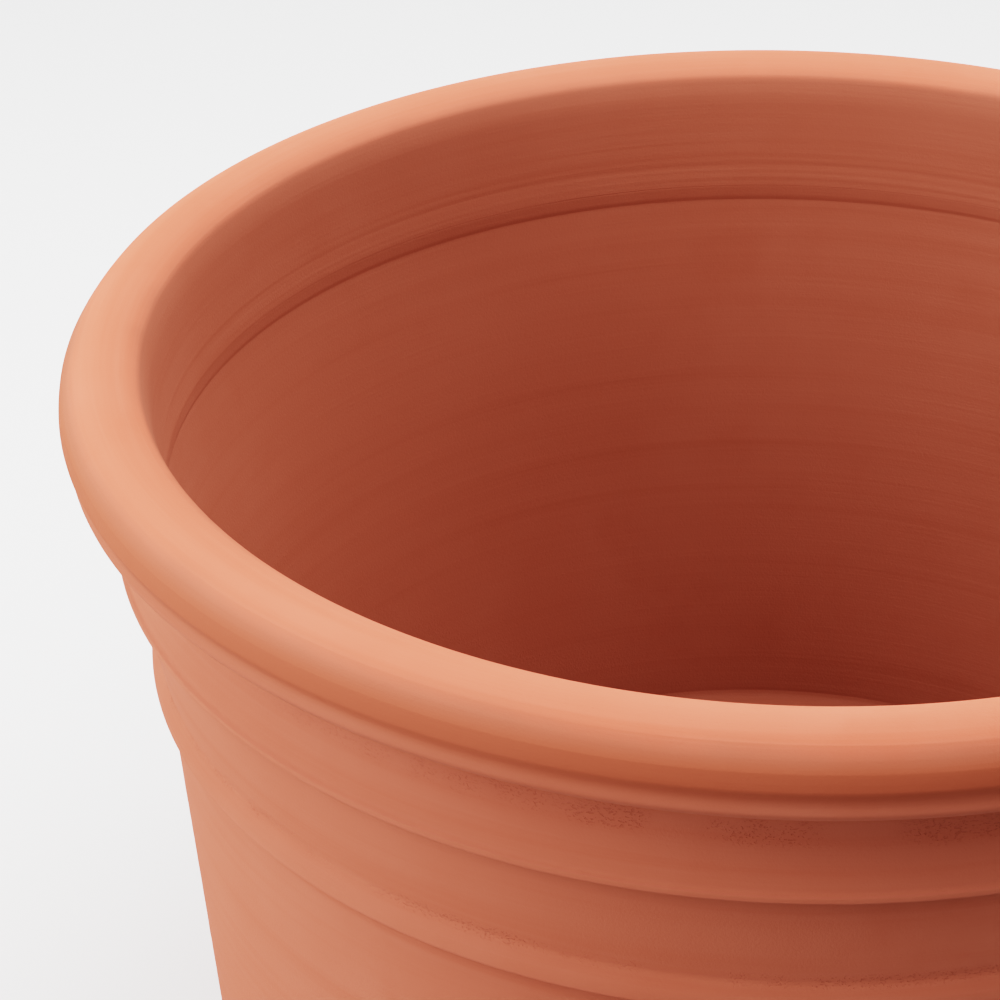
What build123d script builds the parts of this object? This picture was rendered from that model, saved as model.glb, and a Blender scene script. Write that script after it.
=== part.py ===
from build123d import *
import math
import os

# A wide, low terracotta pot, in millimetres, with +Z up and the origin at the centre of the base.
# The fired clay is split into the members that it was formed from. Each is a closed ring or slab,
# and neighbours meet face to face, so together they fill the pot's wall and floor exactly.
# Every profile is drawn as (radius, height) in the XZ plane and turned about Z.

# Driving dimensions
RIM_DIAMETER = 380.0
ROLL_WIDTH = 23.6
ROLL_HEIGHT = 26.2
BASE_DIAMETER = 309.5
FLOOR_THICKNESS = 15.0
FOOT_HEIGHT = 6.0
DRAIN_DIAMETER = 30.0

# Rolled rim: its centre line runs at this radius and height. Below its widest point the section is an oval.
# Above, it was shaped with a rib that left soft edges, so it is a chain of arcs that follow on smoothly:
# each is (direction that the skin faces where the arc ends, in degrees above outwards; radius of the arc).
ROLL_RADIUS = (RIM_DIAMETER - ROLL_WIDTH) / 2
ROLL_LEVEL = 216.7
ROLL_CREASE_ANGLE = -80.0
ROLL_SEAT_RADIUS = 170.0
ROLL_SIDE = (12.0, 22.0)
ROLL_LOWER_EDGE = (27.0, 1.8)
ROLL_FLANK = (41.0, 24.5)
ROLL_UPPER_EDGE = (58.0, 1.8)
ROLL_CROWN = (122.0, 14.0)
ROLL_SHOULDER = (152.0, 6.0)
ROLL_INNER_SIDE = (174.0, 22.0)

# Inside face: a short skirt under the roll, a finger-wide groove, then one straight cone
SKIRT_RADIUS = 163.8
SKIRT_LEVEL = ROLL_LEVEL - 24.7
GROOVE_WIDTH = 4.2
GROOVE_DEPTH = 0.9
CONE_TOP_RADIUS = 164.3
CONE_TOP_LEVEL = SKIRT_LEVEL - GROOVE_WIDTH
CONE_FOOT_RADIUS = 141.3
FLOOR_LEVEL = FOOT_HEIGHT + FLOOR_THICKNESS
FLOOR_COVE = 7.0

# Collar under the roll: hollow outside, flared to a narrow lip
COLLAR_THROAT_RADIUS = 174.6
COLLAR_THROAT_DROP = 21.0
COLLAR_NECK_RADIUS = 175.4
COLLAR_NECK_DROP = 16.5
LIP_RADIUS = 177.0
LIP_DROP = 36.8
LIP_THICKNESS = 1.8

# Lower band: a shallow cove that ends in a small bead
BAND_TOP_RADIUS = 174.0
BAND_TOP_DROP = 40.2
BAND_CREASE_RADIUS = 168.4
BAND_CREASE_DROP = 68.4
BAND_COVE_DEPTH = 0.5
BEAD_RADIUS = 170.3
BEAD_SHOULDER_DROP = 73.4
BEAD_LOWER_DROP = 76.2

# Body below the bead: a straight taper to the base
BODY_TOP_DROP = 77.8
BASE_EDGE_ROUND = 4.0
FOOT_INNER_RADIUS = 118.0
FOOT_INNER_CHAMFER = 2.5
DRAIN_EDGE_CHAMFER = 1.5

BODY_TOP_LEVEL = ROLL_LEVEL - BODY_TOP_DROP
BODY_TOP_RADIUS = 166.8


def level(drop):
    """Height of a point that lies this far below the centre of the roll."""
    return ROLL_LEVEL - drop


def inner_cone(height):
    """Radius of the inside face at a height between the floor and the groove."""
    share = (height - FLOOR_LEVEL) / (CONE_TOP_LEVEL - FLOOR_LEVEL)
    return CONE_FOOT_RADIUS + share * (CONE_TOP_RADIUS - CONE_FOOT_RADIUS)


def outer_body(height):
    """Radius of the outside face at a height between the base and the bead."""
    share = height / BODY_TOP_LEVEL
    return BASE_DIAMETER / 2 + share * (BODY_TOP_RADIUS - BASE_DIAMETER / 2)


def ring(*edges):
    """Closed solid turned about Z from the edges of a closed (radius, height) outline."""
    return revolve(Plane.XZ * make_face(edges), axis=Axis.Z)


def roll_point(angle):
    """Point of the roll's oval at an angle, counted up from its outermost point."""
    turn = math.radians(angle)
    return (
        ROLL_RADIUS + ROLL_WIDTH / 2 * math.cos(turn),
        ROLL_LEVEL + ROLL_HEIGHT / 2 * math.sin(turn),
    )


def arc_chain(start, arcs):
    """Arcs that follow one another smoothly from a point whose skin faces outwards."""
    edges = []
    facing = 0.0
    for end_facing, radius in arcs:
        centre = (
            start[0] - radius * math.cos(math.radians(facing)),
            start[1] - radius * math.sin(math.radians(facing)),
        )
        half, end = [
            (
                centre[0] + radius * math.cos(math.radians(angle)),
                centre[1] + radius * math.sin(math.radians(angle)),
            )
            for angle in ((facing + end_facing) / 2, end_facing)
        ]
        edges.append(ThreePointArc(start, half, end))
        start, facing = end, end_facing
    return edges, start


CREASE = roll_point(ROLL_CREASE_ANGLE)
SKIRT_EDGE = (SKIRT_RADIUS, SKIRT_LEVEL)
SEAT_CORNER = (ROLL_SEAT_RADIUS, CREASE[1])
BAND_JOINT_LEVEL = level(BAND_TOP_DROP)


def rim_roll():
    """The rolled rim, seated on the collar, with the skirt smoothed down from it inside."""
    oval = EllipticalCenterArc(
        (ROLL_RADIUS, ROLL_LEVEL),
        ROLL_WIDTH / 2,
        ROLL_HEIGHT / 2,
        start_angle=ROLL_CREASE_ANGLE,
        arc_size=-ROLL_CREASE_ANGLE,
    )
    top, skirt_top = arc_chain(
        roll_point(0.0),
        (
            ROLL_SIDE,
            ROLL_LOWER_EDGE,
            ROLL_FLANK,
            ROLL_UPPER_EDGE,
            ROLL_CROWN,
            ROLL_SHOULDER,
            ROLL_INNER_SIDE,
        ),
    )
    return ring(
        oval,
        *top,
        Polyline(skirt_top, SKIRT_EDGE, SEAT_CORNER, CREASE),
    )


def rim_collar():
    """The hollow collar that carries the roll, flared to its lip."""
    neck = (COLLAR_NECK_RADIUS, level(COLLAR_NECK_DROP))
    throat = (COLLAR_THROAT_RADIUS, level(COLLAR_THROAT_DROP))
    lip_top = (LIP_RADIUS, level(LIP_DROP))
    lip_foot = (LIP_RADIUS, level(LIP_DROP + LIP_THICKNESS))
    undercut = (BAND_TOP_RADIUS, BAND_JOINT_LEVEL)
    inner_foot = (inner_cone(BAND_JOINT_LEVEL), BAND_JOINT_LEVEL)
    cone_top = (CONE_TOP_RADIUS, CONE_TOP_LEVEL)
    groove_foot = (CONE_TOP_RADIUS + GROOVE_DEPTH, CONE_TOP_LEVEL + GROOVE_WIDTH / 2)
    hollow = Spline(neck, throat, lip_top, tangents=[(0, -1), (0.35, -1)])
    return ring(
        Spline(CREASE, neck, tangents=[(-1, -0.4), (0, -1)]),
        hollow,
        Polyline(lip_top, lip_foot, undercut, inner_foot, cone_top),
        ThreePointArc(cone_top, groove_foot, SKIRT_EDGE),
        Polyline(SKIRT_EDGE, SEAT_CORNER, CREASE),
    )


def lower_band():
    """The coved band under the collar, ending in a small bead."""
    top = (BAND_TOP_RADIUS, BAND_JOINT_LEVEL)
    crease = (BAND_CREASE_RADIUS, level(BAND_CREASE_DROP))
    middle = (
        (top[0] + crease[0]) / 2 - BAND_COVE_DEPTH,
        (top[1] + crease[1]) / 2,
    )
    shoulder = (BEAD_RADIUS, level(BEAD_SHOULDER_DROP))
    bead_foot = (BEAD_RADIUS, level(BEAD_LOWER_DROP))
    foot = (BODY_TOP_RADIUS, BODY_TOP_LEVEL)
    inner_foot = (inner_cone(BODY_TOP_LEVEL), BODY_TOP_LEVEL)
    inner_top = (inner_cone(BAND_JOINT_LEVEL), BAND_JOINT_LEVEL)
    return ring(
        ThreePointArc(top, middle, crease),
        Polyline(crease, shoulder, bead_foot, foot, inner_foot, inner_top, top),
    )


def cove_points():
    """Centre of the cove at the floor's edge, and where it meets the inside cone."""
    lean = math.atan2(CONE_TOP_RADIUS - CONE_FOOT_RADIUS, CONE_TOP_LEVEL - FLOOR_LEVEL)
    centre_level = FLOOR_LEVEL + FLOOR_COVE
    centre_radius = inner_cone(centre_level) - FLOOR_COVE / math.cos(lean)
    meeting = (
        centre_radius + FLOOR_COVE * math.cos(lean),
        centre_level - FLOOR_COVE * math.sin(lean),
    )
    return (centre_radius, centre_level), meeting


def pot_wall():
    """The tapered wall from the bead down to the top of the foot."""
    meeting = cove_points()[1]
    return ring(
        Polyline(
            (BODY_TOP_RADIUS, BODY_TOP_LEVEL),
            (outer_body(FOOT_HEIGHT), FOOT_HEIGHT),
            (meeting[0], FOOT_HEIGHT),
            meeting,
            (inner_cone(BODY_TOP_LEVEL), BODY_TOP_LEVEL),
            close=True,
        )
    )


def pot_floor():
    """The floor slab with its coved edge and the drain hole through its middle."""
    centre, meeting = cove_points()
    turn = math.radians(-45.0)
    hollow = (
        centre[0] + FLOOR_COVE * math.cos(turn),
        centre[1] + FLOOR_COVE * math.sin(turn),
    )
    cove_foot = (centre[0], FLOOR_LEVEL)
    bore = DRAIN_DIAMETER / 2
    edge = DRAIN_EDGE_CHAMFER
    return ring(
        ThreePointArc(meeting, hollow, cove_foot),
        Polyline(
            cove_foot,
            (bore + edge, FLOOR_LEVEL),
            (bore, FLOOR_LEVEL - edge),
            (bore, FOOT_HEIGHT + edge),
            (bore + edge, FOOT_HEIGHT),
            (meeting[0], FOOT_HEIGHT),
            meeting,
        ),
    )


def foot_ring():
    """The low ring that the pot stands on, rounded outside and eased inside."""
    edge = BASE_EDGE_ROUND
    outer_top = (outer_body(FOOT_HEIGHT), FOOT_HEIGHT)
    side_foot = (outer_body(edge), edge)
    ground_outer = (side_foot[0] - edge, 0.0)
    turn = math.radians(-45.0)
    rounded = (
        ground_outer[0] + edge * math.cos(turn),
        edge + edge * math.sin(turn),
    )
    return ring(
        Line(outer_top, side_foot),
        ThreePointArc(side_foot, rounded, ground_outer),
        Polyline(
            ground_outer,
            (FOOT_INNER_RADIUS + FOOT_INNER_CHAMFER, 0.0),
            (FOOT_INNER_RADIUS, FOOT_INNER_CHAMFER),
            (FOOT_INNER_RADIUS, FOOT_HEIGHT),
            outer_top,
        ),
    )


MEMBERS = (rim_roll, rim_collar, lower_band, pot_wall, pot_floor, foot_ring)

os.makedirs("parts", exist_ok=True)
for member in MEMBERS:
    export_step(member(), f"parts/{member.__name__}.step")
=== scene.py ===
"""Looks for the wide terracotta pot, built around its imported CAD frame.

Each member of the pot is a class: rolled rim, collar, lower band, wall, floor and foot. A member holds its
sizes in millimetres, draws its section with a few points, turns it about the axis and works the clay skin.
Heights are above the base. A "drop" is how far a point lies below the centre line of the roll.
"""

import logging
import math
import random
from collections.abc import Callable, Sequence
from dataclasses import astuple, dataclass, field
from enum import Enum

import bmesh
import bpy
import numpy as np
from mathutils import Matrix, Vector


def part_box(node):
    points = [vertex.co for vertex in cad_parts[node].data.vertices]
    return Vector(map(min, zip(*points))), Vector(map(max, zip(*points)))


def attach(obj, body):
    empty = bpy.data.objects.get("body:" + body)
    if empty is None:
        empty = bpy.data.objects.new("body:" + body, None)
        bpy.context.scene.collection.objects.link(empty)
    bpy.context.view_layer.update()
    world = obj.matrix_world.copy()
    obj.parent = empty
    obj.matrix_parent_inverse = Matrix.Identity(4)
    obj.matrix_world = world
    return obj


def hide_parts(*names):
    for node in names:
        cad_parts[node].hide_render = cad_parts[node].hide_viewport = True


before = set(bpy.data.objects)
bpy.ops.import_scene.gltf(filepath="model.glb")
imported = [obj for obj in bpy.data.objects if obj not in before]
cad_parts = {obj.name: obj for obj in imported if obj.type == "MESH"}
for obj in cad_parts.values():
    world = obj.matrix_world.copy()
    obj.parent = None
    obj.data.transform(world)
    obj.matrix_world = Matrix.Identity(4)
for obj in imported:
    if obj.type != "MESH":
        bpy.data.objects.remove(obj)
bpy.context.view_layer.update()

BODY = "root"
MM = 0.001

logging.basicConfig(level=logging.INFO, format="%(message)s")
log = logging.getLogger("pot")

Point = tuple[float, float]
Colour = tuple[float, float, float]


class Operation(Enum):
    """The sums that the clay's nodes do."""

    ADD = "ADD"
    SUBTRACT = "SUBTRACT"
    MULTIPLY = "MULTIPLY"
    MULTIPLY_ADD = "MULTIPLY_ADD"
    ROOT = "SQRT"


# ---------------------------------------------------------------- sections


@dataclass(frozen=True)
class Bend:
    """An arc of a section. Facing is where its end faces, in degrees counted up from outwards."""

    facing: float
    radius: float


@dataclass
class Section:
    """The outline of a member, as (radius, height) in millimetres, in order round the section."""

    points: list[Point] = field(default_factory=list)
    eased: dict[int, float] = field(default_factory=dict)

    def to(self, radius: float, height: float, ease: float = 0.0) -> "Section":
        """Adds a corner.

        Args:
            radius: Distance from the axis.
            height: Height above the base.
            ease: Radius to which the corner is rounded off, or 0 for a corner left as it is.

        Returns:
            This section, so that calls can follow one another.
        """
        if ease:
            self.eased[len(self.points)] = ease
        self.points.append((radius, height))
        return self

    def oval(self, centre: Point, half: Point, start: float, end: float, step: float) -> "Section":
        """Adds an arc of an upright oval.

        Args:
            centre: Centre of the oval.
            half: Half of its width and half of its height.
            start: First angle in degrees, counted up from the outermost point.
            end: Last angle in degrees.
            step: Distance between points along the arc.

        Returns:
            This section.
        """
        count = max(2, round(math.radians(abs(end - start)) * max(half) / step))
        for i in range(count + 1):
            turn = math.radians(start + (end - start) * i / count)
            self.to(centre[0] + half[0] * math.cos(turn), centre[1] + half[1] * math.sin(turn))
        return self

    def bends(self, arcs: Sequence["Bend"], step: float) -> "Section":
        """Adds arcs that follow one another smoothly from the last point, where the skin faces outwards.

        Args:
            arcs: The arcs, in order.
            step: Most distance between points along an arc.

        Returns:
            This section.
        """
        facing = 0.0
        for arc in arcs:
            begin = self.points[-1]
            centre = (begin[0] - arc.radius * math.cos(math.radians(facing)),
                      begin[1] - arc.radius * math.sin(math.radians(facing)))
            span = math.radians(arc.facing - facing)
            count = max(4, math.ceil(span * arc.radius / step))
            for i in range(1, count + 1):
                turn = math.radians(facing) + span * i / count
                self.to(centre[0] + arc.radius * math.cos(turn), centre[1] + arc.radius * math.sin(turn))
            facing = arc.facing
        return self

    def sweep(self, target: Point, leave: Point, arrive: Point, step: float) -> "Section":
        """Adds a smooth curve from the last point.

        Args:
            target: Where the curve ends.
            leave: Direction in which it leaves the last point, as long as the pull it has there.
            arrive: Direction in which it arrives, as long as the pull it has there.
            step: Distance between points along the curve.

        Returns:
            This section.
        """
        begin = self.points[-1]
        count = max(2, round(math.dist(begin, target) / step))
        for i in range(1, count + 1):
            t = i / count
            stay, pull = 2 * t**3 - 3 * t**2 + 1, t**3 - 2 * t**2 + t
            reach, push = 3 * t**2 - 2 * t**3, t**3 - t**2
            self.to(*(stay * b + pull * l + reach * e + push * a
                      for b, l, e, a in zip(begin, leave, target, arrive)))
        return self


@dataclass(frozen=True)
class Wheel:
    """How a section is turned into a closed ring of clay."""

    around: int = 480
    sectors: int = 16
    corner_segments: int = 4
    sharp_from: float = math.radians(42.0)

    @staticmethod
    def spin(bm: bmesh.types.BMesh, angle: float, steps: int, use_duplicate: bool = False) -> None:
        """Spins everything about the axis.

        Args:
            bm: The mesh.
            angle: Angle of the whole spin, in radians.
            steps: Steps in it.
            use_duplicate: Whether to leave copies at each step, instead of joining the steps with faces.
        """
        bmesh.ops.spin(
            bm,
            geom=list(bm.verts) + list(bm.edges) + list(bm.faces),
            axis=(0, 0, 1),
            cent=(0, 0, 0),
            dvec=(0, 0, 0),
            angle=angle,
            steps=steps,
            use_duplicate=use_duplicate,
        )

    def turn(self, name: str, section: Section, spacing: Callable[[Point], float]) -> bpy.types.Object:
        """Turns a section about the axis.

        Args:
            name: Name of the piece.
            section: Its closed outline.
            spacing: Gives the wanted distance between rows of vertices near a point of the section.

        Returns:
            The new piece, linked to the scene.
        """
        bm = bmesh.new()
        corners = [bm.verts.new((r * MM, 0.0, h * MM)) for r, h in section.points]
        face = bm.faces.new(corners)
        for index, ease in section.eased.items():
            bmesh.ops.bevel(
                bm,
                geom=[corners[index]],
                offset=ease * MM,
                offset_type="OFFSET",
                affect="VERTICES",
                segments=self.corner_segments,
                profile=0.5,
                material=-1,
            )
        bmesh.ops.delete(bm, geom=list(bm.faces), context="FACES_ONLY")
        for edge in list(bm.edges):
            middle = (edge.verts[0].co + edge.verts[1].co) / 2
            wanted = spacing((middle.x / MM, middle.z / MM)) * MM
            cuts = math.ceil(edge.calc_length() / wanted) - 1
            if cuts > 0:
                bmesh.ops.subdivide_edges(bm, edges=[edge], cuts=cuts)
        self.spin(bm, math.tau / self.sectors, self.around // self.sectors)
        self.spin(bm, math.tau - math.tau / self.sectors, self.sectors - 1, use_duplicate=True)
        bmesh.ops.remove_doubles(bm, verts=list(bm.verts), dist=1e-6)
        bmesh.ops.recalc_face_normals(bm, faces=list(bm.faces))
        mesh = bpy.data.meshes.new(name)
        bm.to_mesh(mesh)
        bm.free()
        mesh.polygons.foreach_set("use_smooth", [True] * len(mesh.polygons))
        mesh.set_sharp_from_angle(angle=self.sharp_from)
        piece = bpy.data.objects.new(name, mesh)
        bpy.context.scene.collection.objects.link(piece)
        return piece


# ---------------------------------------------------------------- relief


@dataclass(frozen=True)
class TurningLine:
    """One faint groove or ridge left by a finger or rib while the pot turned."""

    height: float
    width: float
    depth: float
    start: float
    length: float

    def offset(self, angle: np.ndarray, height: np.ndarray) -> np.ndarray:
        """Depth of the line in millimetres at each point.

        Args:
            angle: Angle round the axis, in radians.
            height: Height above the base, in millimetres.

        Returns:
            How far the skin lies below its even surface.
        """
        along = np.mod(angle - self.start, math.tau) / self.length
        fade = np.clip(np.sin(np.clip(along, 0.0, 1.0) * math.pi) * 2.0, 0.0, 1.0)
        return self.depth * fade * np.exp(-(((height - self.height) / self.width) ** 2))


def turning_lines(seed: int, low: float, high: float, count: int, depth: float,
                  width: Point = (0.25, 0.7)) -> tuple[TurningLine, ...]:
    """Draws irregular turning lines between two heights.

    Args:
        seed: Seed of the draw, so that every run gives the same lines.
        low: Lowest height in millimetres.
        high: Highest height in millimetres.
        count: How many lines.
        depth: Depth of the deepest, in millimetres.
        width: Least and most half-width of a line, in millimetres.

    Returns:
        The lines.
    """
    draw = random.Random(seed)
    return tuple(
        TurningLine(
            height=draw.uniform(low, high),
            width=draw.uniform(*width),
            depth=depth * draw.uniform(-0.6, 1.0),
            start=draw.uniform(0.0, math.tau),
            length=draw.uniform(0.25, 1.0) * math.tau,
        )
        for _ in range(count)
    )


@dataclass(frozen=True)
class Swell:
    """One slow wave round the pot. It leans, because its phase also changes with the height."""

    share: float
    waves: int
    phase: float
    lean: float

    def at(self, angle: np.ndarray, height: np.ndarray) -> np.ndarray:
        """The wave at each point, from an angle in radians and a height in millimetres."""
        return self.share * np.sin(self.waves * angle + self.phase + height / self.lean)


@dataclass(frozen=True)
class HandRelief:
    """The slight unevenness of a pot finished by hand on the wheel. Depths in millimetres."""

    sway: float = 0.06
    waves: float = 0.035
    swells: tuple[Swell, ...] = (
        Swell(1.0, 2, 0.7, 90.0),
        Swell(0.6, 3, -1.1, -60.0),
        Swell(0.35, 7, 2.3, 25.0),
        Swell(0.25, 13, 0.4, -17.0),
    )
    lines: tuple[TurningLine, ...] = ()

    def depth(self, angle: np.ndarray, height: np.ndarray) -> np.ndarray:
        """How far the skin is pressed in, in millimetres, at each point.

        Args:
            angle: Angle round the axis, in radians.
            height: Height above the base, in millimetres.

        Returns:
            Depth below the even surface. The sway is never negative, so nothing grows.
        """
        sway = sum(swell.at(angle, height) for swell in self.swells)
        wave = np.sin(height / 2.9 + 0.8 * np.sin(angle + height / 40.0)) + 0.6 * np.sin(height / 1.37 + 1.3)
        pressed = self.sway * (sway / 2.2 + 1.0) + self.waves * (wave / 1.6 + 1.0) / 2.0
        for line in self.lines:
            pressed = pressed + line.offset(angle, height)
        return pressed

    def press(self, piece: bpy.types.Object, outward: Callable[[np.ndarray, np.ndarray], tuple]) -> None:
        """Moves the piece's skin in by the relief.

        Args:
            piece: The piece, in metres.
            outward: Gives, for radii and heights in millimetres, the direction (radial, upward) of the skin.
        """
        mesh = piece.data
        co = np.empty(len(mesh.vertices) * 3)
        mesh.vertices.foreach_get("co", co)
        co = co.reshape(-1, 3) / MM
        radius = np.hypot(co[:, 0], co[:, 1])
        angle = np.arctan2(co[:, 1], co[:, 0])
        out_radial, out_up = outward(radius, co[:, 2])
        depth = self.depth(angle, co[:, 2])
        moved = radius - depth * out_radial
        co[:, 2] -= depth * out_up
        co[:, 0] = moved * np.cos(angle)
        co[:, 1] = moved * np.sin(angle)
        mesh.vertices.foreach_set("co", (co * MM).ravel())
        mesh.update()


# ---------------------------------------------------------------- main sizes


# Taken from the frame
RIM_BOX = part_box("rim_roll")
RIM_RADIUS = min(RIM_BOX[1].x, RIM_BOX[1].y) / MM
RIM_TOP = RIM_BOX[1].z / MM
FOOT_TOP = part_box("foot_ring")[1].z / MM

# The roll: half of its width and height, and where its centre line runs under its top
ROLL_HALF = (11.8, 13.1)
ROLL_RISE = 12.44
ROLL_CENTRE = (RIM_RADIUS - ROLL_HALF[0], RIM_TOP - ROLL_RISE)
CREASE_ANGLE = -80.0

# Corners where two members meet
LAP_EDGE = (163.8, ROLL_CENTRE[1] - 24.7)
SEAT = (170.0, ROLL_CENTRE[1] - 12.9)
BAND_TOP = (174.0, ROLL_CENTRE[1] - 40.2)
BODY_TOP = (166.8, ROLL_CENTRE[1] - 77.8)

# The straight runs of the wall, inside and outside, the cove at its foot, and the line halfway between
CONE_TOP = (164.3, ROLL_CENTRE[1] - 29.4)
CONE_FOOT = (141.3, 21.0)
BASE_RADIUS = 154.75
COVE_RADIUS = 2.5
WALL_MIDDLE_FOOT = 147.4
WALL_SLOPE = 0.1234


def wall_middle(height: np.ndarray) -> np.ndarray:
    """Radius halfway through the wall at a height, both in millimetres."""
    return WALL_MIDDLE_FOOT + height * WALL_SLOPE


def inner_cone(height: float) -> float:
    """Radius of the inside face at a height, in millimetres."""
    share = (height - CONE_FOOT[1]) / (CONE_TOP[1] - CONE_FOOT[1])
    return CONE_FOOT[0] + share * (CONE_TOP[0] - CONE_FOOT[0])


def outer_body(height: float) -> float:
    """Radius of the body's outside face at a height, in millimetres."""
    return BASE_RADIUS + height / BODY_TOP[1] * (BODY_TOP[0] - BASE_RADIUS)


def below_roll(drop: float) -> float:
    """Height of a point that lies this far below the roll's centre, in millimetres."""
    return ROLL_CENTRE[1] - drop


def oval_point(angle: float) -> Point:
    """Point of the roll's oval at an angle in degrees, counted up from its outermost point."""
    turn = math.radians(angle)
    return ROLL_CENTRE[0] + ROLL_HALF[0] * math.cos(turn), ROLL_CENTRE[1] + ROLL_HALF[1] * math.sin(turn)


# ---------------------------------------------------------------- finishes


class Graph:
    """A short way to write a material's nodes."""

    def __init__(self, material: bpy.types.Material) -> None:
        """Clears the material's nodes and reads the object coordinates.

        Args:
            material: The material to build.
        """
        material.use_nodes = True
        self.tree = material.node_tree
        self.tree.nodes.clear()
        self.place = self.node("ShaderNodeTexCoord").outputs["Object"]
        split = self.node("ShaderNodeSeparateXYZ")
        self.join(self.place, split.inputs[0])
        self.x, self.y, self.z = split.outputs
        across, along = (self.math(Operation.MULTIPLY, side, side) for side in (self.x, self.y))
        self.radius = self.math(Operation.ROOT, self.math(Operation.ADD, across, along))

    def node(self, kind: str, **settings: object) -> bpy.types.Node:
        """Adds a node.

        Args:
            kind: Type of the node.
            settings: Properties to set on it.

        Returns:
            The node.
        """
        made = self.tree.nodes.new(kind)
        for key, value in settings.items():
            setattr(made, key, value)
        return made

    def join(self, value: object, socket: bpy.types.NodeSocket) -> None:
        """Links an output to an input, or sets a plain value on it.

        Args:
            value: The output, number, or red, green and blue.
            socket: The input.
        """
        if isinstance(value, bpy.types.NodeSocket):
            self.tree.links.new(value, socket)
        elif isinstance(value, (tuple, list)) and len(value) == 3 and socket.type == "RGBA":
            socket.default_value = (*value, 1.0)
        else:
            socket.default_value = value

    def math(self, operation: Operation, *values: object) -> bpy.types.NodeSocket:
        """Adds a sum.

        Args:
            operation: Which sum.
            values: One to three values that it works on.

        Returns:
            Its result.
        """
        made = self.node("ShaderNodeMath", operation=operation.value)
        for value, socket in zip(values, made.inputs):
            self.join(value, socket)
        return made.outputs[0]

    def ramp(self, value: object, low: float, high: float, start: float = 0.0,
             end: float = 1.0) -> bpy.types.NodeSocket:
        """Turns a value smoothly from one number into another, and holds both beyond the ends.

        Args:
            value: The value.
            low: Where the turn begins.
            high: Where it ends.
            start: The number before it.
            end: The number after it.

        Returns:
            The result.
        """
        made = self.node("ShaderNodeMapRange", interpolation_type="SMOOTHSTEP", clamp=True)
        for index, item in enumerate((value, low, high, start, end)):
            self.join(item, made.inputs[index])
        return made.outputs[0]

    def band(self, value: object, low: float, high: float, soft: float) -> bpy.types.NodeSocket:
        """Picks out the stretch between two values.

        Args:
            value: The value.
            low: Where the stretch begins.
            high: Where it ends.
            soft: Half of the width over which each end fades.

        Returns:
            1 in the stretch and 0 outside it.
        """
        return self.math(Operation.MULTIPLY, self.ramp(value, low - soft, low + soft),
                         self.ramp(value, high - soft, high + soft, 1.0, 0.0))

    def stretched(self, across: float, up: float) -> bpy.types.NodeSocket:
        """Scales the object coordinates.

        Args:
            across: Scale across the pot.
            up: Scale up it.

        Returns:
            The scaled coordinates.
        """
        made = self.node("ShaderNodeMapping")
        self.join(self.place, made.inputs["Vector"])
        made.inputs["Scale"].default_value = (across, across, up)
        return made.outputs[0]

    def noise(self, vector: object, scale: float, detail: float = 3.0, rough: float = 0.55,
              ring: float | None = None) -> bpy.types.NodeSocket:
        """Adds noise.

        Args:
            vector: Coordinates that it reads.
            scale: Its scale.
            detail: How many finer layers it has.
            rough: How strong the finer layers are.
            ring: How fast it also changes with the distance from the axis, or None.

        Returns:
            The noise, from 0 to 1.
        """
        made = self.node("ShaderNodeTexNoise", noise_dimensions="4D" if ring else "3D")
        self.join(vector, made.inputs["Vector"])
        made.inputs["Scale"].default_value = scale
        made.inputs["Detail"].default_value = detail
        made.inputs["Roughness"].default_value = rough
        if ring:
            self.join(self.math(Operation.MULTIPLY, self.radius, ring), made.inputs["W"])
        return made.outputs["Fac"]

    def mix(self, factor: object, first: object, second: object) -> bpy.types.NodeSocket:
        """Mixes two colours.

        Args:
            factor: Share of the second, from 0 to 1.
            first: The first colour.
            second: The second colour.

        Returns:
            The mixed colour.
        """
        made = self.node("ShaderNodeMix", data_type="RGBA", clamp_factor=True)
        self.join(factor, made.inputs["Factor"])
        self.join(first, made.inputs[6])
        self.join(second, made.inputs[7])
        return made.outputs[2]

    def bump(self, height: object, distance: float) -> bpy.types.NodeSocket:
        """Adds a bump.

        Args:
            height: Height of the bump.
            distance: How many metres a height of 1 stands for.

        Returns:
            The bent normal.
        """
        made = self.node("ShaderNodeBump")
        made.inputs["Strength"].default_value = 1.0
        made.inputs["Distance"].default_value = distance
        self.join(height, made.inputs["Height"])
        return made.outputs[0]


@dataclass(frozen=True)
class PitBand:
    """A stretch where the tool tore the skin and left pores. Heights in millimetres."""

    low: float
    high: float
    soft: float
    least_radius: float


@dataclass(frozen=True)
class ClayTone:
    """The colours of one stretch of fired clay, as linear red, green and blue."""

    plain: Colour
    pale: Colour
    deep: Colour


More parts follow.
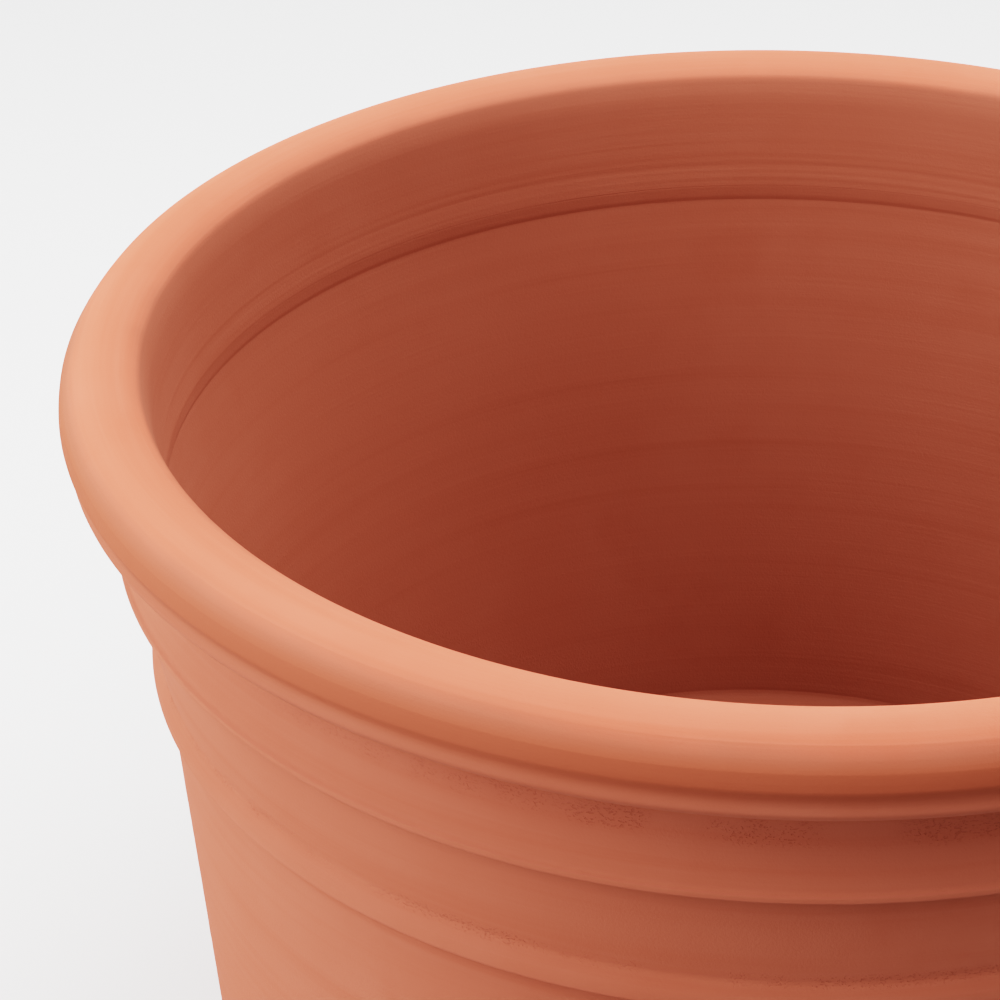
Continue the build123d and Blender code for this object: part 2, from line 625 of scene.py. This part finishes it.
@dataclass(frozen=True)
class ClayFinish:
    """Unglazed fired clay with a smoothed skin.

    Scales are in waves to the metre. The streaks and fine lines run round the pot, so each has a low scale
    round it and a high one up it and away from the axis. Levels are above the centre line of the roll, and
    they, radii and soft edges are in millimetres. A range is the stretch of a noise over which its colour
    comes in, and a share is how much of that colour shows at most.
    """

    name: str = "terracotta_skin"
    outside: ClayTone = ClayTone((0.360, 0.0934, 0.0550), (0.380, 0.1060, 0.0655), (0.330, 0.0780, 0.0433))
    # The inside tone is a darker copy of the outside tone: painted shade inside the pot.
    inside: ClayTone = ClayTone((0.259, 0.0707, 0.0418), (0.278, 0.0800, 0.0490), (0.232, 0.0584, 0.0325))
    # The paler crown tone is partly painted highlight where the top light falls, partly scuffed clay.
    crown: ClayTone = ClayTone((0.507, 0.1035, 0.0578), (0.535, 0.1170, 0.0690), (0.465, 0.0860, 0.0455))
    # Painted shade: a darker, more orange colour on the roll's outer flank.
    flank_shade: Colour = (0.290, 0.0640, 0.0300)
    flank_shade_levels: Point = (-3.5, 7.0)
    flank_shade_soft: float = 2.5
    flank_shade_radii: Point = (181.0, 185.0)
    flank_shade_share: float = 0.7
    crown_levels: Point = (8.5, 13.5)
    crown_radii: Point = (167.9, 170.1)
    crown_ragged: float = 4.0
    inside_soft: float = 2.0
    cloud_scale: float = 7.0
    cloud_range: Point = (0.38, 0.68)
    patch_scale: float = 26.0
    patch_range: Point = (0.50, 0.74)
    patch_share: float = 0.32
    streak_scale: Point = (4.0, 170.0)
    streak_range: Point = (0.46, 0.70)
    streak_share: float = 0.42
    streak_height: float = 1.6
    fine_scale: Point = (16.0, 1100.0)
    fine_range: Point = (0.50, 0.76)
    fine_share: float = 0.24
    fine_height: float = 0.9
    grain_scale: float = 1500.0
    torn_scale: float = 45.0
    torn_range: Point = (0.40, 0.60)
    torn_share: float = 0.18
    pore_scale: float = 1300.0
    pore_range: Point = (0.57, 0.66)
    pore_share: float = 0.30
    # The pores are painted darker as shade in the holes; this is how dark, as a share of the deep tone.
    pore_shade: float = 0.6
    pore_depth: float = 2.0
    roughness: float = 0.82
    gloss: float = 0.15
    grain: float = 0.065
    pits: tuple[PitBand, ...] = ()

    def material(self) -> bpy.types.Material:
        """Builds the material.

        Returns:
            The material.
        """
        made = bpy.data.materials.new(self.name)
        graph = Graph(made)
        cloud = graph.noise(graph.place, self.cloud_scale, 4.0, 0.6)
        patch = graph.noise(graph.place, self.patch_scale, 4.0, 0.65)
        streak = graph.noise(graph.stretched(*self.streak_scale), 1.0, 4.0, 0.6, ring=self.streak_scale[1])
        fine = graph.noise(graph.stretched(*self.fine_scale), 1.0, 2.0, 0.5, ring=self.fine_scale[1])
        grain = graph.noise(graph.place, self.grain_scale, 3.0, 0.6)

        plain, pale, deep = self.tones(graph, patch)
        colour = graph.mix(graph.ramp(cloud, *self.cloud_range), plain, pale)
        colour = graph.mix(graph.ramp(patch, *self.patch_range, 0.0, self.patch_share), colour, deep)
        colour = graph.mix(graph.ramp(streak, *self.streak_range, 0.0, self.streak_share), colour, deep)
        colour = graph.mix(graph.ramp(fine, *self.fine_range, 0.0, self.fine_share), colour, pale)
        # Painted shade on the roll's outer flank.
        colour = graph.mix(self.flank(graph), colour, self.flank_shade)
        height = graph.math(Operation.MULTIPLY_ADD, fine, self.fine_height, grain)
        height = graph.math(Operation.MULTIPLY_ADD, streak, self.streak_height, height)
        for pits in self.pits:
            colour, height = self.pitted(graph, pits, colour, height)

        shader = graph.node("ShaderNodeBsdfPrincipled")
        graph.join(colour, shader.inputs["Base Color"])
        graph.join(graph.ramp(cloud, 0.3, 0.7, self.roughness - 0.05, self.roughness + 0.05),
                   shader.inputs["Roughness"])
        graph.join(graph.bump(height, self.grain * MM), shader.inputs["Normal"])
        shader.inputs["Diffuse Roughness"].default_value = 0.5
        shader.inputs["Specular IOR Level"].default_value = self.gloss
        output = graph.node("ShaderNodeOutputMaterial")
        graph.join(shader.outputs[0], output.inputs["Surface"])
        return made

    def tones(self, graph: Graph, patch: bpy.types.NodeSocket) -> list[bpy.types.NodeSocket]:
        """Blends the tones of the outside, the inside and the crown of the roll where they meet. The darker
        inside tone is painted shade inside the pot.

        Args:
            graph: The material's nodes.
            patch: Noise that makes the edge of the crown's tone uneven.

        Returns:
            The plain, pale and deep colours.
        """
        # Painted shade: the darker inside tone, on the inner face of the wall and on the floor.
        soft = self.inside_soft * MM
        middle = graph.math(Operation.MULTIPLY_ADD, graph.z, WALL_SLOPE, WALL_MIDDLE_FOOT * MM)
        inside_shade_share = graph.math(
            Operation.MULTIPLY,
            graph.ramp(graph.math(Operation.SUBTRACT, graph.radius, middle), soft, -soft),
            graph.ramp(graph.z, FOOT_TOP * MM + soft, FOOT_TOP * MM + 2 * soft),
        )
        # Paler crown: partly painted highlight where the top light falls, partly scuffed clay.
        low, high = (ROLL_CENTRE[1] + level for level in self.crown_levels)
        inner, outer = self.crown_radii
        ragged = graph.math(Operation.MULTIPLY_ADD, patch, self.crown_ragged * MM, graph.z)
        crown_highlight_and_wear = graph.math(
            Operation.MULTIPLY,
            graph.ramp(ragged, low * MM, high * MM),
            graph.ramp(graph.radius, inner * MM, outer * MM),
        )
        tones = zip(*(astuple(tone) for tone in (self.outside, self.inside, self.crown)))
        return [
            graph.mix(crown_highlight_and_wear, graph.mix(inside_shade_share, outside, inside), crown) for outside, inside, crown in tones
        ]

    def flank(self, graph: Graph) -> bpy.types.NodeSocket:
        """Picks out the roll's outer flank, where a darker, more orange colour is painted as shade.

        Args:
            graph: The material's nodes.

        Returns:
            The share of the painted shade colour.
        """
        low, high = (ROLL_CENTRE[1] + level for level in self.flank_shade_levels)
        inner, outer = self.flank_shade_radii
        level = graph.band(graph.z, low * MM, high * MM, self.flank_shade_soft * MM)
        outside = graph.ramp(graph.radius, inner * MM, outer * MM, 0.0, self.flank_shade_share)
        return graph.math(Operation.MULTIPLY, level, outside)

    def pitted(self, graph: Graph, pits: PitBand, colour: bpy.types.NodeSocket,
               height: bpy.types.NodeSocket) -> tuple[bpy.types.NodeSocket, bpy.types.NodeSocket]:
        """Adds the pores of one torn stretch, with painted shade in them.

        Args:
            graph: The material's nodes.
            pits: The stretch.
            colour: Colour so far.
            height: Height of the bump so far.

        Returns:
            The colour and the height with the pores.
        """
        zone = graph.band(graph.z, pits.low * MM, pits.high * MM, pits.soft * MM)
        outer = graph.ramp(graph.radius, (pits.least_radius - 1) * MM, (pits.least_radius + 1) * MM)
        zone = graph.math(Operation.MULTIPLY, zone, outer)
        torn = graph.ramp(graph.noise(graph.place, self.torn_scale, 2.0), *self.torn_range)
        zone = graph.math(Operation.MULTIPLY, zone, torn)
        fleck = graph.noise(graph.stretched(1.0, 1.5), self.pore_scale, 1.0, 0.5)
        pore = graph.ramp(fleck, *self.pore_range)
        hole = graph.math(Operation.MULTIPLY, zone, pore)
        colour = graph.mix(graph.math(Operation.MULTIPLY, zone, self.torn_share), colour, self.outside.deep)
        # Painted shade in the pores, darker than the deep tone.
        pore_painted_shade = tuple(self.pore_shade * channel for channel in self.outside.deep)
        colour = graph.mix(graph.math(Operation.MULTIPLY, hole, self.pore_share), colour, pore_painted_shade)
        return colour, graph.math(Operation.MULTIPLY_ADD, hole, -self.pore_depth, height)


# ---------------------------------------------------------------- members


@dataclass
class Member:
    """A member of the pot: a closed ring or slab of clay."""

    node: str = ""
    row: float = 1.0
    wheel: Wheel = Wheel()
    relief: HandRelief = HandRelief()

    def section(self) -> Section:
        """The member's outline."""
        raise NotImplementedError

    def spacing(self, point: Point) -> float:
        """Wanted distance between rows of vertices near a point of the section, in millimetres."""
        return self.row

    def outward(self, radius: np.ndarray, height: np.ndarray) -> tuple[np.ndarray, np.ndarray]:
        """Finds which way the skin faces.

        Args:
            radius: Radii of the points, in millimetres.
            height: Heights of the points, in millimetres.

        Returns:
            The radial and the upward part of the direction at each point.
        """
        side = np.where(radius > wall_middle(height), 1.0, -1.0)
        return side, np.zeros_like(side)

    def build(self) -> bpy.types.Object:
        """Turns the member and works its skin.

        Returns:
            The piece.
        """
        piece = self.wheel.turn(f"clay_{self.node}", self.section(), self.spacing)
        self.relief.press(piece, self.outward)
        return piece

    def dress(self, piece: bpy.types.Object, clay: bpy.types.Material) -> None:
        """Gives the piece its finish, and its place in the frame.

        Args:
            piece: The member's piece.
            clay: The clay material.
        """
        piece.data.materials.append(clay)
        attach(piece, BODY)
        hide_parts(self.node)


@dataclass
class RimRoll(Member):
    """The rolled rim, with the skirt smoothed down from it on the inside.

    The ridge and the hollow over it are given as (radius, drop).
    """

    node: str = "rim_roll"
    row: float = 0.9
    fine_row: float = 0.45
    ridge_under: Point = (186.6, 9.4)
    ridge: Point = (188.4, 7.2)
    hollow: Point = (187.9, 3.9)
    side: Bend = Bend(12.0, 22.0)
    lower_edge: Bend = Bend(27.0, 1.8)
    flank: Bend = Bend(41.0, 24.5)
    upper_edge: Bend = Bend(58.0, 1.8)
    crown: Bend = Bend(128.0, 14.0)
    shoulder: Bend = Bend(154.0, 3.4)
    inner_side: Bend = Bend(174.0, 22.0)
    hem: Point = (0.1, 0.5)

    def section(self) -> Section:
        """A ridge underneath, soft edges left by the rib above, the skirt and the seat on the collar."""
        outline = Section().to(*oval_point(CREASE_ANGLE))
        outline.to(self.ridge_under[0], below_roll(self.ridge_under[1]), ease=0.9)
        outline.to(self.ridge[0], below_roll(self.ridge[1]), ease=0.9)
        outline.to(self.hollow[0], below_roll(self.hollow[1]), ease=1.4)
        outline.to(*oval_point(0.0), ease=0.6)
        outline.bends((self.side, self.lower_edge, self.flank, self.upper_edge, self.crown, self.shoulder,
                       self.inner_side), 0.8)
        outline.to(LAP_EDGE[0] - self.hem[0], LAP_EDGE[1] + self.hem[1], ease=0.3)
        outline.to(*LAP_EDGE)
        outline.to(*SEAT)
        return outline

    def spacing(self, point: Point) -> float:
        """Fine rows on the skirt for the turning lines."""
        return self.fine_row if point[0] < ROLL_CENTRE[0] - ROLL_HALF[0] * 0.6 else self.row

    def outward(self, radius: np.ndarray, height: np.ndarray) -> tuple[np.ndarray, np.ndarray]:
        """Away from the roll's centre line on the roll, and towards the axis on the skirt.

        Args:
            radius: Radii of the points, in millimetres.
            height: Heights of the points, in millimetres.

        Returns:
            The radial and the upward part of the direction at each point.
        """
        across = (radius - ROLL_CENTRE[0]) / ROLL_HALF[0]
        up = np.maximum((height - ROLL_CENTRE[1]) / ROLL_HALF[1], -0.95)
        up = np.where((across < 0) & (height < ROLL_CENTRE[1]), 0.0, up)
        size = np.maximum(np.hypot(across, up), 1e-6)
        return across / size, up / size


@dataclass
class RimCollar(Member):
    """The hollow collar that carries the roll and flares to a narrow lip.

    Points outside are given as (radius, drop). The step is how far the foot of the groove inside stands in
    from the top of the cone, and how far above it.
    """

    node: str = "rim_collar"
    row: float = 0.8
    fine_row: float = 0.45
    fine_within: float = 166.0
    neck: Point = (175.4, 16.5)
    throat: Point = (174.6, 22.0)
    flare: Point = (176.4, 36.5)
    lip_radius: float = 177.4
    lip_drop: float = 37.4
    lip_thickness: float = 1.6
    step: Point = (0.35, 1.3)

    def section(self) -> Section:
        """The hollow outside, the lip, and inside the groove over the cone."""
        outline = Section().to(*oval_point(CREASE_ANGLE))
        outline.sweep((self.neck[0], below_roll(self.neck[1])), (-6.0, -2.5), (0.0, -5.0), 0.6)
        outline.sweep((self.throat[0], below_roll(self.throat[1])), (0.0, -5.5), (0.0, -5.5), 0.9)
        outline.sweep((self.flare[0], below_roll(self.flare[1])), (0.0, -14.0), (3.6, -14.0), 0.9)
        outline.to(self.lip_radius, below_roll(self.lip_drop), ease=0.25)
        outline.to(self.lip_radius, below_roll(self.lip_drop + self.lip_thickness), ease=0.5)
        outline.to(*BAND_TOP)
        outline.to(inner_cone(BAND_TOP[1]), BAND_TOP[1])
        outline.to(*CONE_TOP, ease=0.25)
        outline.to(CONE_TOP[0] - self.step[0], CONE_TOP[1] + self.step[1], ease=0.5)
        outline.to(*LAP_EDGE)
        outline.to(*SEAT)
        return outline

    def spacing(self, point: Point) -> float:
        """Finer rows inside, where the groove is."""
        return self.fine_row if point[0] < self.fine_within else self.row


@dataclass
class LowerBand(Member):
    """The shallow coved band under the collar, ending in a small bead. Its points are (radius, drop)."""

    node: str = "lower_band"
    crease: Point = (168.4, 68.4)
    shoulder: Point = (170.2, 73.2)
    bead_foot: Point = (170.3, 76.4)

    def section(self) -> Section:
        """The cove, the bead and the plain inside."""
        outline = Section().to(*BAND_TOP)
        outline.sweep((self.crease[0], below_roll(self.crease[1])), (-6.5, -28.0), (-5.5, -28.0), 0.9)
        outline.to(self.shoulder[0], below_roll(self.shoulder[1]), ease=1.2)
        outline.to(self.bead_foot[0], below_roll(self.bead_foot[1]), ease=0.5)
        outline.to(*BODY_TOP)
        outline.to(inner_cone(BODY_TOP[1]), BODY_TOP[1])
        outline.to(inner_cone(BAND_TOP[1]), BAND_TOP[1])
        return outline


def cove() -> tuple[Point, Point]:
    """Places the cove at the floor's edge.

    Returns:
        The cove's centre, and where it meets the cone.
    """
    lean = math.atan2(CONE_TOP[0] - CONE_FOOT[0], CONE_TOP[1] - CONE_FOOT[1])
    middle = CONE_FOOT[1] + COVE_RADIUS
    centre = (inner_cone(middle) - COVE_RADIUS / math.cos(lean), middle)
    return centre, (centre[0] + COVE_RADIUS * math.cos(lean), middle - COVE_RADIUS * math.sin(lean))


@dataclass
class PotWall(Member):
    """The tapered wall from the bead down to the foot."""

    node: str = "pot_wall"
    row: float = 1.5

    def section(self) -> Section:
        """A plain taper, thicker towards the floor."""
        meeting = cove()[1]
        outline = Section().to(*BODY_TOP)
        outline.to(outer_body(FOOT_TOP), FOOT_TOP)
        outline.to(meeting[0], FOOT_TOP)
        outline.to(*meeting)
        outline.to(inner_cone(BODY_TOP[1]), BODY_TOP[1])
        return outline


@dataclass
class PotFloor(Member):
    """The floor slab with its coved edge and the drain hole."""

    node: str = "pot_floor"
    row: float = 1.6
    drain_radius: float = 15.0
    drain_ease: float = 1.5

    def section(self) -> Section:
        """The cove, the floor, the hole and the underside."""
        centre, meeting = cove()
        lean = math.degrees(math.asin((centre[1] - meeting[1]) / COVE_RADIUS))
        outline = Section()
        outline.oval(centre, (COVE_RADIUS, COVE_RADIUS), -lean, -90.0, 0.8)
        outline.to(self.drain_radius, CONE_FOOT[1], ease=self.drain_ease)
        outline.to(self.drain_radius, FOOT_TOP, ease=self.drain_ease)
        outline.to(meeting[0], FOOT_TOP)
        return outline

    def outward(self, radius: np.ndarray, height: np.ndarray) -> tuple[np.ndarray, np.ndarray]:
        """Straight up on the floor, and nothing on the underside.

        Args:
            radius: Radii of the points, in millimetres.
            height: Heights of the points, in millimetres.

        Returns:
            The radial and the upward part of the direction at each point.
        """
        centre, meeting = cove()
        share = np.clip((radius - centre[0]) / (meeting[0] - centre[0]), 0.0, 1.0)
        above = (height > FOOT_TOP + 1.0).astype(float)
        return -share * above, (1.0 - share) * above


@dataclass
class FootRing(Member):
    """The low ring that the pot stands on."""

    node: str = "foot_ring"
    row: float = 1.6
    inner_radius: float = 118.0
    outer_ease: float = 4.0
    inner_ease: float = 2.5

    def section(self) -> Section:
        """A flat ring, rounded outside and eased inside."""
        outline = Section().to(outer_body(FOOT_TOP), FOOT_TOP)
        outline.to(outer_body(0.0), 0.0, ease=self.outer_ease)
        outline.to(self.inner_radius, 0.0, ease=self.inner_ease)
        outline.to(self.inner_radius, FOOT_TOP)
        return outline

    def outward(self, radius: np.ndarray, height: np.ndarray) -> tuple[np.ndarray, np.ndarray]:
        """Outward at the outer face only, so that the foot stays flat.

        Args:
            radius: Radii of the points, in millimetres.
            height: Heights of the points, in millimetres. Not used.

        Returns:
            The radial and the upward part of the direction at each point.
        """
        side = np.where(radius > outer_body(FOOT_TOP) - 2.0, 1.0, 0.0)
        return side, np.zeros_like(side)


# ---------------------------------------------------------------- studio


@dataclass(frozen=True)
class Camera:
    """The view from in front, above the rim. The distance is in metres and the angles are in degrees."""

    distance: float = 0.94428
    elevation: float = 28.580
    pan: float = 4.521
    tilt: float = 2.180
    bank: float = 2.042
    lens: float = 129.74

    def place(self) -> None:
        """Makes the camera, aimed past the centre of the rim."""
        data = bpy.data.cameras.new("camera")
        data.lens = self.lens
        data.sensor_width = 36.0
        data.clip_start = 0.05
        data.clip_end = 50.0
        camera = bpy.data.objects.new("camera", data)
        bpy.context.scene.collection.objects.link(camera)
        lift = math.radians(self.elevation)
        stand = Vector((0.0, -self.distance * math.cos(lift),
                        ROLL_CENTRE[1] * MM + self.distance * math.sin(lift)))
        turn = (
            Matrix.Rotation(math.pi / 2 - lift, 4, "X")
            @ Matrix.Rotation(math.radians(self.pan), 4, "Y")
            @ Matrix.Rotation(math.radians(-self.tilt), 4, "X")
            @ Matrix.Rotation(math.radians(self.bank), 4, "Z")
        )
        camera.matrix_world = Matrix.Translation(stand) @ turn
        bpy.context.scene.camera = camera


@dataclass(frozen=True)
class Softbox:
    """A soft area light that faces the pot. Azimuth 0 stands in front and 90 to the right."""

    name: str
    azimuth: float
    elevation: float
    distance: float
    width: float
    height: float
    power: float

    def place(self) -> None:
        """Makes the light."""
        data = bpy.data.lights.new(self.name, "AREA")
        data.shape = "RECTANGLE"
        data.size = self.width
        data.size_y = self.height
        data.energy = self.power
        light = bpy.data.objects.new(self.name, data)
        bpy.context.scene.collection.objects.link(light)
        side, up = math.radians(self.azimuth), math.radians(self.elevation)
        away = Vector((math.sin(side) * math.cos(up), -math.cos(side) * math.cos(up), math.sin(up)))
        light.location = Vector((0.0, 0.0, RIM_BOX[1].z / 2)) + away * self.distance
        light.rotation_mode = "QUATERNION"
        light.rotation_quaternion = away.to_track_quat("Z", "Y")


@dataclass(frozen=True)
class Studio:
    """A pale floor and soft light all round. The floor throws less light on the pot than it shows."""

    floor_size: float = 6.0
    floor_colour: Colour = (0.8, 0.8, 0.8)
    floor_bounce: Colour = (0.25, 0.25, 0.25)
    lights: tuple[Softbox, ...] = (
        Softbox("left", -80.0, 18.0, 1.2, 0.8, 1.4, 10.9),
        Softbox("left_front", -62.0, 18.0, 1.2, 0.5, 1.2, 17.7),
        Softbox("left_high", -70.0, 48.0, 1.3, 1.2, 1.0, 4.5),
        Softbox("left_back", -110.0, 35.0, 1.4, 1.0, 1.0, 6.8),
        Softbox("right", 75.0, 35.0, 1.4, 1.0, 1.0, 10.3),
        Softbox("right_high", 60.0, 55.0, 1.3, 1.0, 1.0, 3.5),
        Softbox("right_back", 135.0, 55.0, 1.4, 1.0, 1.0, 10.6),
        Softbox("top", 180.0, 88.0, 1.1, 1.0, 1.0, 8.9),
        Softbox("top_wide", 180.0, 85.0, 1.3, 2.2, 2.2, 1.7),
        Softbox("top_front", 0.0, 68.0, 1.3, 1.4, 1.0, 2.4),
        Softbox("top_back", 180.0, 65.0, 1.3, 1.4, 1.0, 13.5),
    )
    glow: float = 0.302

    def place(self) -> None:
        """Makes the floor, the lights and the even background."""
        self.lay_floor()
        for light in self.lights:
            light.place()
        self.set_background()
        view = bpy.context.scene.view_settings
        view.view_transform = "Filmic"
        view.look = "High Contrast"

    def lay_floor(self) -> None:
        """Lays the floor, which shows its own colour but throws back the light of its bounce."""
        bm = bmesh.new()
        bmesh.ops.create_grid(bm, x_segments=1, y_segments=1, size=self.floor_size / 2)
        mesh = bpy.data.meshes.new("floor")
        bm.to_mesh(mesh)
        bm.free()
        floor = bpy.data.objects.new("floor", mesh)
        bpy.context.scene.collection.objects.link(floor)
        pale = bpy.data.materials.new("pale_floor")
        graph = Graph(pale)
        shader = graph.node("ShaderNodeBsdfDiffuse")
        seen = graph.node("ShaderNodeLightPath").outputs["Is Camera Ray"]
        graph.join(graph.mix(seen, self.floor_bounce, self.floor_colour), shader.inputs["Color"])
        output = graph.node("ShaderNodeOutputMaterial")
        graph.join(shader.outputs[0], output.inputs["Surface"])
        mesh.materials.append(pale)

    def set_background(self) -> None:
        """Sets the even white background."""
        world = bpy.data.worlds.new("studio")
        bpy.context.scene.world = world
        world.use_nodes = True
        background = world.node_tree.nodes["Background"]
        background.inputs["Color"].default_value = (1.0, 1.0, 1.0, 1.0)
        background.inputs["Strength"].default_value = self.glow


def members() -> Sequence[Member]:
    """The pot's members, from the rim down."""
    skirt_lines = turning_lines(seed=11, low=below_roll(24.0), high=below_roll(2.0), count=26, depth=0.07)
    wall_lines = turning_lines(
        seed=29, low=30.0, high=below_roll(79.0), count=30, depth=0.06, width=(0.8, 2.5)
    )
    return (
        RimRoll(relief=HandRelief(lines=skirt_lines)),
        RimCollar(),
        LowerBand(),
        PotWall(relief=HandRelief(lines=wall_lines)),
        PotFloor(),
        FootRing(),
    )


def main() -> None:
    """Builds the pot, then the studio."""
    clay = ClayFinish(
        pits=(
            PitBand(low=below_roll(24.9), high=below_roll(16.4), soft=2.0, least_radius=170.0),
            PitBand(low=below_roll(69.4), high=below_roll(65.9), soft=1.2, least_radius=166.0),
        )
    ).material()
    for member in members():
        piece = member.build()
        member.dress(piece, clay)
        log.info("%s: %d faces", piece.name, len(piece.data.polygons))
    Camera().place()
    Studio().place()


if __name__ == "__main__":
    main()
